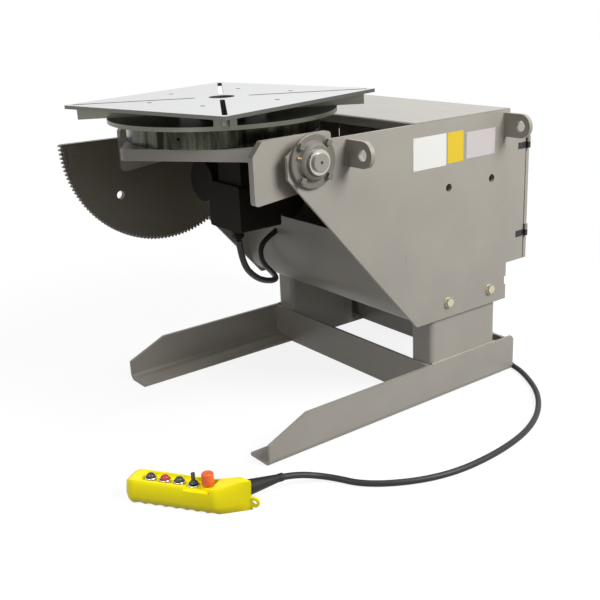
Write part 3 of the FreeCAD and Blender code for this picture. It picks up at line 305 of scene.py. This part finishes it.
grey_enamel = paint("grey_enamel", (0.335, 0.312, 0.272), 0.42)
dress(grey_enamel, "leg_left", "leg_right", "cross_plate_front", "cross_plate_rear",
      "column_left", "column_right", "side_plate_left", "side_plate_right", "belly_pan",
      "rear_panel", "lifting_lugs", "gearbox_shelf", "arm_left", "arm_right", "hub_doublers",
      "saddle_plate", "cabinet_box", "cabinet_door")
dress(paint("cover_enamel", (0.31, 0.290, 0.25), 0.26), "top_cover")
sector_brown = paint("sector_brown", (0.125, 0.108, 0.078), 0.36)
dress(sector_brown, "sector_gear", "stop_dog")
drive_black = paint("drive_black", (0.004, 0.0032, 0.0012), 0.6, shine=0.08)
dress(drive_black, "turn_gearbox", "turn_motor", "motor_terminal_box", "tilt_motor")
dress(paint("gearbox_grey", (0.16, 0.16, 0.155), 0.45), "tilt_gearbox")


# Bare steel: ground, turned or plated, with fine tool marks that break up its shine. The slewing ring's
# colour holds painted reflections in dark upright streaks, and the table plate has painted shade, its edges
# coloured darker than its face.
def steel(name, colour, roughness, mark_scale, mark_stretch):
    """Metal whose tool marks are a noise stretched by mark_stretch along X, Y and Z."""
    made = bpy.data.materials.new(name)
    made.use_nodes = True
    tree = made.node_tree
    shader = tree.nodes["Principled BSDF"]
    shader.inputs["Base Color"].default_value = (*colour, 1)
    shader.inputs["Metallic"].default_value = 1.0
    where = tree.nodes.new("ShaderNodeTexCoord")
    spread = tree.nodes.new("ShaderNodeMapping")
    spread.inputs["Scale"].default_value = mark_stretch
    marks = tree.nodes.new("ShaderNodeTexNoise")
    marks.inputs["Scale"].default_value = mark_scale
    marks.inputs["Detail"].default_value = 3
    rough = tree.nodes.new("ShaderNodeMapRange")
    rough.inputs["To Min"].default_value = roughness * 0.75
    rough.inputs["To Max"].default_value = roughness * 1.3
    bump = tree.nodes.new("ShaderNodeBump")
    bump.inputs["Distance"].default_value = 0.0001
    bump.inputs["Strength"].default_value = 0.4
    tree.links.new(where.outputs["Object"], spread.inputs["Vector"])
    tree.links.new(spread.outputs["Vector"], marks.inputs["Vector"])
    tree.links.new(marks.outputs["Fac"], rough.inputs["Value"])
    tree.links.new(rough.outputs["Result"], shader.inputs["Roughness"])
    tree.links.new(marks.outputs["Fac"], bump.inputs["Height"])
    tree.links.new(bump.outputs["Normal"], shader.inputs["Normal"])
    return made


def painted_reflection_streaks():
    """Group: painted reflection, upright light and dark streaks in a polished ring's colour, standing in
    for the workshop it would mirror.
    """
    group = bpy.data.node_groups.new("painted_reflection_streaks", "ShaderNodeTree")
    group.interface.new_socket("Mask", in_out="OUTPUT", socket_type="NodeSocketFloat")
    where = group.nodes.new("ShaderNodeTexCoord")
    upright = group.nodes.new("ShaderNodeMapping")
    upright.inputs["Scale"].default_value = (1, 1, 0.12)
    streak = group.nodes.new("ShaderNodeTexNoise")
    streak.inputs["Scale"].default_value = 16
    streak.inputs["Detail"].default_value = 5
    streak.inputs["Roughness"].default_value = 0.65
    contrast = group.nodes.new("ShaderNodeMapRange")
    contrast.interpolation_type = "SMOOTHSTEP"
    contrast.inputs["From Min"].default_value = 0.40
    contrast.inputs["From Max"].default_value = 0.66
    end = group.nodes.new("NodeGroupOutput")
    group.links.new(where.outputs["Object"], upright.inputs["Vector"])
    group.links.new(upright.outputs["Vector"], streak.inputs["Vector"])
    group.links.new(streak.outputs["Fac"], contrast.inputs["Value"])
    group.links.new(contrast.outputs["Result"], end.inputs["Mask"])
    return group


ring_steel = steel("ring_steel", (0.10, 0.10, 0.08), 0.20, 60, (0.2, 0.2, 12))
tree = ring_steel.node_tree
painted_streaks = tree.nodes.new("ShaderNodeGroup")
painted_streaks.node_tree = painted_reflection_streaks()
# Painted reflection: along the streaks the ring's colour runs from near black to dark grey, as if it
# mirrored a workshop.
painted_light_tone = tree.nodes.new("ShaderNodeMix")
painted_light_tone.data_type = "RGBA"
painted_light_tone.inputs["A"].default_value = (0.012, 0.013, 0.007, 1)
painted_light_tone.inputs["B"].default_value = (0.085, 0.087, 0.066, 1)
tree.links.new(painted_streaks.outputs["Mask"], painted_light_tone.inputs["Factor"])
tree.links.new(painted_light_tone.outputs["Result"], tree.nodes["Principled BSDF"].inputs["Base Color"])
dress(ring_steel, "slewing_ring_outer", "slewing_ring_inner")
table_steel = steel("table_steel", (0.66, 0.67, 0.67), 0.34, 40, (14, 0.4, 1))
tree = table_steel.node_tree
# Painted shade: the colour follows each face's slope. Faces turned up get bright steel, and upright edges
# and undersides get a dark grey.
facing = tree.nodes.new("ShaderNodeTexCoord")
upward = tree.nodes.new("ShaderNodeSeparateXYZ")
painted_light_tone = tree.nodes.new("ShaderNodeMix")
painted_light_tone.data_type = "RGBA"
painted_light_tone.inputs["A"].default_value = (0.14, 0.138, 0.125, 1)
painted_light_tone.inputs["B"].default_value = (0.60, 0.605, 0.605, 1)
tree.links.new(facing.outputs["Normal"], upward.inputs[0])
tree.links.new(upward.outputs["Z"], painted_light_tone.inputs["Factor"])
tree.links.new(painted_light_tone.outputs["Result"], tree.nodes["Principled BSDF"].inputs["Base Color"])
dress(table_steel, "table_plate")
bar_steel = steel("bar_steel", (0.15, 0.15, 0.123), 0.34, 40, (1, 1, 8))
dress(bar_steel, "t_slot_bars", "table_disc")
shaft_steel = steel("shaft_steel", (0.55, 0.54, 0.50), 0.30, 60, (10, 1, 1))
dress(shaft_steel, "shaft_collars", "shaft_spacers", "tilt_pinion", "turn_pinion", "back_panel")
dress(paint("shaft_enamel", (0.30, 0.28, 0.24), 0.30), "trunnion_shaft_left",
      "trunnion_shaft_right")
zinc = steel("zinc_yellow", (0.60, 0.56, 0.42), 0.36, 50, (1, 1, 1))
dress(zinc, "sector_bolts")
dress(plain("nipple_brass", (0.65, 0.50, 0.24), 0.3, 1.0), "grease_nipples")

# Cabinet trim: a rubber seal round the door, black moulded hinges and cord gland, chromed
# quarter-turn latches, and grey moulded modules on the back panel.
dress(plain("seal_rubber", (0.012, 0.012, 0.012), 0.7), "cabinet_gasket")
dress(plain("hinge_black", (0.015, 0.015, 0.015), 0.4), "cabinet_hinges", "cord_gland")
dress(plain("latch_chrome", (0.7, 0.7, 0.7), 0.12, 1.0), "door_latch_lower", "door_latch_upper")
dress(plain("module_grey", (0.10, 0.105, 0.11), 0.5), "control_modules")


# Trunnion bearings: cast flanged housings on the outer faces of the side plates, painted with
# the frame. A round flange carries a turned body, and four square-headed bolts hold it.
def turned(name, profile, place, way, material, body, replaced=None, slot=None, steps=48):
    """A lathe piece: (distance, radius) pairs spun about the line from place along way."""
    mesh = bpy.data.meshes.new(name)
    work = bmesh.new()
    line = [work.verts.new((radius, 0, distance)) for distance, radius in profile]
    edges = [work.edges.new(pair) for pair in zip(line, line[1:])]
    bmesh.ops.spin(work, geom=line + edges, cent=(0, 0, 0), axis=(0, 0, 1),
                   angle=math.tau, steps=steps, use_merge=True)
    bmesh.ops.remove_doubles(work, verts=work.verts, dist=1e-6)
    bmesh.ops.recalc_face_normals(work, faces=work.faces)
    stand = Vector((0, 0, 1)).rotation_difference(Vector(way)).to_matrix().to_4x4()
    bmesh.ops.transform(work, matrix=Matrix.Translation(place) @ stand, verts=work.verts)
    work.to_mesh(mesh)
    work.free()
    mesh.materials.append(material)
    made = ride_piece(mesh, name, body, replaced)
    soften(made, 0.0010)
    return made


def ride_piece(mesh, name, body, replaced):
    """Put a mesh in the scene on its CAD body, in place of a CAD node where one is named."""
    made = link_in(mesh, name)
    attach(made, body)
    if replaced:
        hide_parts(replaced)
    return made


def soften(piece, width):
    """Small rounds on a piece's sharp edges, with smooth shading over them."""
    for face in piece.data.polygons:
        face.use_smooth = True
    rounds = piece.modifiers.new("rounds", "BEVEL")
    rounds.width = width
    rounds.segments = 2
    rounds.limit_method = "ANGLE"
    rounds.angle_limit = math.radians(32)
    rounds.harden_normals = True


def add_prism(work, sides, radius, place, way, height, turn=0.0):
    """Add a regular prism to a bmesh: bolt heads, nuts, washers and studs."""
    stand = Vector((0, 0, 1)).rotation_difference(Vector(way)).to_matrix().to_4x4()
    middle = Vector(place) + Vector(way) * height / 2
    spot = Matrix.Translation(middle) @ stand @ Matrix.Rotation(math.radians(turn), 4, "Z")
    bmesh.ops.create_cone(work, cap_ends=True, segments=sides, radius1=radius, radius2=radius,
                          depth=height, matrix=spot)


def mesh_of(name, work, material):
    """Turn a bmesh into a mesh of one material and free it."""
    mesh = bpy.data.meshes.new(name)
    bmesh.ops.recalc_face_normals(work, faces=work.faces)
    work.to_mesh(mesh)
    work.free()
    mesh.materials.append(material)
    return mesh


tilt_y, tilt_z = -0.525, 0.988
side_x = 0.495
flange_t = 0.012
bolt_circle_r = 0.074
bolt_washer_t = 0.005
housing_profile = [(0, 0.0302), (0, 0.086), (0.011, 0.086), (0.013, 0.083), (0.013, 0.064),
                   (0.017, 0.060), (0.025, 0.058), (0.031, 0.051), (0.031, 0.037),
                   (0.026, 0.0355), (0.026, 0.0302)]
housing_enamel = paint("housing_enamel", (0.17, 0.157, 0.132), 0.34)
housing_bolts = bmesh.new()
for hand, side in ((1, "right"), (-1, "left")):
    turned("housing_" + side, housing_profile, (hand * side_x, tilt_y, tilt_z), (hand, 0, 0),
           housing_enamel, "base", "bearing_housing_" + side, "housing_iron", steps=64)
    for corner in range(4):
        a = math.radians(45 + 90 * corner)
        y = tilt_y + bolt_circle_r * math.cos(a)
        z = tilt_z + bolt_circle_r * math.sin(a)
        add_prism(housing_bolts, 24, 0.013, (hand * (side_x + flange_t), y, z), (hand, 0, 0),
                  bolt_washer_t)
        add_prism(housing_bolts, 4, 0.013, (hand * (side_x + flange_t + bolt_washer_t), y, z),
                  (hand, 0, 0), 0.011, 20)
ends = ride_piece(mesh_of("housing_bolts", housing_bolts, housing_enamel), "housing_bolts",
                  "base", "frame_bolts")
soften(ends, 0.0012)

# Hub doublers: turned rings welded to the inner faces of the arms, round the trunnion shafts,
# and painted with the arms.
arm_inner_x = 0.427
doubler_profile = [(0, 0.0305), (0, 0.073), (0.017, 0.073), (0.020, 0.070), (0.020, 0.0305)]
for hand, side in ((1, "right"), (-1, "left")):
    turned("doubler_" + side, doubler_profile, (hand * arm_inner_x, tilt_y, tilt_z), (-hand, 0, 0),
           grey_enamel, "tilt_frame", "hub_doublers" if hand == 1 else None, "head_paint",
           steps=64)

# Column bolts: yellow zinc hexagon heads on washers, two to a side, that clamp the side
# plates to the columns.
washer_t, column_bolt_z = 0.003, 0.380
column_bolts = bmesh.new()
for hand in (1, -1):
    for y in (0.080, 0.302):
        add_prism(column_bolts, 32, 0.019, (hand * side_x, y, column_bolt_z), (hand, 0, 0), washer_t)
        add_prism(column_bolts, 6, 0.0173, (hand * (side_x + washer_t), y, column_bolt_z),
                  (hand, 0, 0), 0.012)
ends = ride_piece(mesh_of("column_bolts", column_bolts, zinc), "column_bolts", "base", None)
soften(ends, 0.0010)

# Weld beads: rippled fillet welds, painted over with the frame. They run along the columns'
# feet, up the ends of the cross plates and up both faces of the lifting lugs.
def add_weld(work, start, end, radius=0.0048, ripple=0.0042):
    """Add a bead to a bmesh along a straight corner: a round bar whose radius ripples."""
    start = Vector(start)
    run = Vector(end) - start
    stand = Vector((0, 0, 1)).rotation_difference(run.normalized()).to_matrix()
    rings = []
    count = int(run.length / ripple * 4)
    for i in range(count + 1):
        swell = radius * (0.90 + 0.13 * abs(math.sin(math.pi * i / 4)))
        rings.append([work.verts.new(start + run * i / count
                                     + stand @ Vector((swell * math.cos(math.tau * k / 8),
                                                       swell * math.sin(math.tau * k / 8), 0)))
                      for k in range(8)])
    for low, high in zip(rings, rings[1:]):
        for k in range(8):
            work.faces.new((low[k - 1], low[k], high[k], high[k - 1]))


leg_top, inner_x, foot_front, foot_rear = 0.149, 0.485, 0.006, 0.354
frame_welds = bmesh.new()
for hand in (1, -1):
    add_weld(frame_welds, (hand * inner_x, foot_front, leg_top), (hand * inner_x, foot_rear, leg_top))
    for y in (-0.0058, 0.0058, 0.4162, 0.4278):
        add_weld(frame_welds, (hand * inner_x, y, 0.030), (hand * inner_x, y, 0.142))
    for y in (-0.384, -0.368, 0.361, 0.377):
        add_weld(frame_welds, (hand * side_x, y, 0.953), (hand * side_x, y, 1.035), 0.0035)
beads = ride_piece(mesh_of("frame_welds", frame_welds, grey_enamel), "frame_welds", "base", None)
for face in beads.data.polygons:
    face.use_smooth = True

# Plates on the near side: three thin blank sheets, white, yellow and pale, each with four
# rivets. Their print is left off.
def plate(name, y, z, width, height, material):
    """A blank sheet on the side plate, its middle at y, z, with a rivet near each corner."""
    inset = 0.006
    work = bmesh.new()
    middle = (side_x + 0.0006, y, z)
    bmesh.ops.create_cube(work, size=1, matrix=Matrix.Translation(middle)
                          @ Matrix.Diagonal((0.0009, width, height, 1)))
    for across in (-1, 1):
        for up in (-1, 1):
            corner = (side_x + 0.001, y + across * (width / 2 - inset), z + up * (height / 2 - inset))
            add_prism(work, 12, 0.0022, corner, (1, 0, 0), 0.0012)
    made = ride_piece(mesh_of(name, work, material), name, "base", None)
    soften(made, 0.0002)


plate("white_plate", -0.014, 0.944, 0.158, 0.112, plain("plate_white", (0.74, 0.74, 0.71), 0.35))
plate("yellow_plate", 0.110, 0.946, 0.080, 0.108, plain("plate_yellow", (0.70, 0.50, 0.02), 0.35))
plate("pale_plate", 0.240, 0.943, 0.150, 0.094, plain("plate_pale", (0.55, 0.50, 0.50), 0.35))

# Pendant handset: one yellow moulding with soft rounds, finger waves below, a trough for the
# devices and a raised tail where the boot leaves it.
handset_yellow = plain("handset_yellow", (0.95, 0.82, 0.002), 0.34, shine=0.30)
deck = 0.068


def handset_ring(x):
    """Outline of the handset across its length, at x along it: (across, up) points."""
    base, middle, top, height = 0.042, 0.047, 0.036, 0.080
    floor_z, scale = 0.0, 1.0
    if x < -0.142:
        t = min(1.0, (-0.142 - x) / 0.034)
        curve = math.sqrt(1 - t * t)
        scale = (0.013 + 0.034 * curve) / 0.047
        floor_z = 0.026 * (1 - curve)
        height = 0.058 + 0.022 * curve
    elif x < 0.141:
        floor_z = 0.0040 * abs(math.sin((x + 0.142) / 0.283 * 8 * math.pi))
    if x > 0.108:
        height = 0.080 + 0.018 * min(1.0, (x - 0.108) / 0.092)
    past = max(0.0, x - 0.126)
    near = -0.047 + 0.065 * past * past / (past + 0.030) / 0.0826
    far = 0.047 - max(0.0, x - 0.1868) * 0.029 / 0.0452
    dip = deck if -0.122 < x < 0.122 else height
    rim = deck + 0.001 if 0.030 < x < 0.116 else height
    half = [(base * 0.5, floor_z), (base - 0.006, floor_z), (base, floor_z + 0.007),
            (middle, 0.028 + floor_z * 0.3), (top + 0.003, height - 0.012), (top, height - 0.003),
            (top - 0.002, height), (0.030, height), (0.028, height), (0.0265, dip)]
    near_side = [(-y, min(z, rim)) for y, z in half]
    outline = near_side + list(reversed(half))
    return [((near + far) / 2 + y / 0.047 * scale * (far - near) / 2, z) for y, z in outline]


work = bmesh.new()
stops = [-0.176, -0.1755, -0.174, -0.171, -0.166, -0.159, -0.151, -0.142]
stops += [-0.142 + 0.283 * i / 64 for i in range(1, 65)]
stops += [-0.1225, -0.1215, 0.0295, 0.0305, 0.1155, 0.1165, 0.1215, 0.1225]
stops += [0.141 + 0.0905 * i / 14 for i in range(1, 15)]
rings = []
for x in sorted(stops):
    rings.append([work.verts.new(pendant_place(x, y, z)) for y, z in handset_ring(x)])
for low, high in zip(rings, rings[1:]):
    for k in range(len(low)):
        work.faces.new((low[k - 1], low[k], high[k], high[k - 1]))
work.faces.new(rings[0])
work.faces.new(list(reversed(rings[-1])))
handset = ride_piece(mesh_of("handset", work, handset_yellow), "handset", "base",
                     "pendant_body")
soften(handset, 0.0016)
dress(handset_yellow, "pendant_hook")
dress(plain("boot_rubber", (0.015, 0.015, 0.014), 0.5, shine=0.3), "pendant_boot")

# Pendant devices: three booted push buttons in bright rings, a lever with a flared skirt and
# a round nut, and an orange stop knob on a yellow collar.
device_pitch = 0.0488
cap_black = plain("button_black", (0.045, 0.047, 0.050), 0.20)
cap_red = plain("button_red", (0.42, 0.045, 0.035), 0.22)
ring_chrome = plain("bezel_chrome", (0.62, 0.62, 0.62), 0.14, 1.0)
cap_profile = [(0.0046, 0), (0.0046, 0.014), (0.013, 0.0138), (0.017, 0.0125), (0.0200, 0.0095),
               (0.0218, 0.0055), (0.0225, 0)]
for device, (name, material) in enumerate((("black_button_end", cap_black),
                                           ("red_button", cap_red),
                                           ("black_button_middle", cap_black))):
    body = ("button_black_end", "button_red", "button_black_middle")[device]
    spot = pendant_place((device - 2) * device_pitch, 0, deck)
    turned(name + "_cap", cap_profile, spot, (0, 0, 1), material, body, name,
           "button_red" if device == 1 else "button_black")
ring_profile = [(0, 0.0145), (0, 0.020), (0.006, 0.020), (0.010, 0.0175), (0.010, 0.0145),
                (0, 0.0145)]
for device in range(3):
    turned("button_ring_%d" % device, ring_profile, pendant_place((device - 2) * device_pitch, 0, deck),
           (0, 0, 1), ring_chrome, "base", "device_bezels" if device == 0 else None, "bezel_chrome")
turned("lever_nut", [(0, 0.0085), (0, 0.0185), (0.003, 0.0185), (0.005, 0.016), (0.005, 0.0085)],
       pendant_place(device_pitch, 0, deck), (0, 0, 1), ring_chrome, "base", None, "bezel_chrome")
turned("knob_collar", [(0, 0.0085), (0, 0.022), (0.006, 0.021), (0.006, 0.0085)],
       pendant_place(2 * device_pitch, 0, deck), (0, 0, 1), handset_yellow, "base", None, "pendant_yellow")
turned("lever", [(0.001, 0), (0.001, 0.004), (0.009, 0.004), (0.009, 0.0145), (0.011, 0.0145),
                 (0.017, 0.0075), (0.024, 0.0060), (0.041, 0.0068), (0.043, 0.0060), (0.044, 0)],
       pendant_place(device_pitch, 0, deck), (0, 0, 1), cap_black, "toggle", "toggle_lever", "button_black")
turned("stop_knob", [(-0.018, 0), (-0.018, 0.008), (0.012, 0.008), (0.012, 0.0185), (0.014, 0.019),
                     (0.046, 0.019), (0.049, 0.0175), (0.050, 0.015), (0.050, 0)],
       pendant_place(2 * device_pitch, 0, deck), (0, 0, 1), plain("knob_orange", (0.80, 0.13, 0.03), 0.32),
       "knob", "mushroom_knob", "knob_orange")
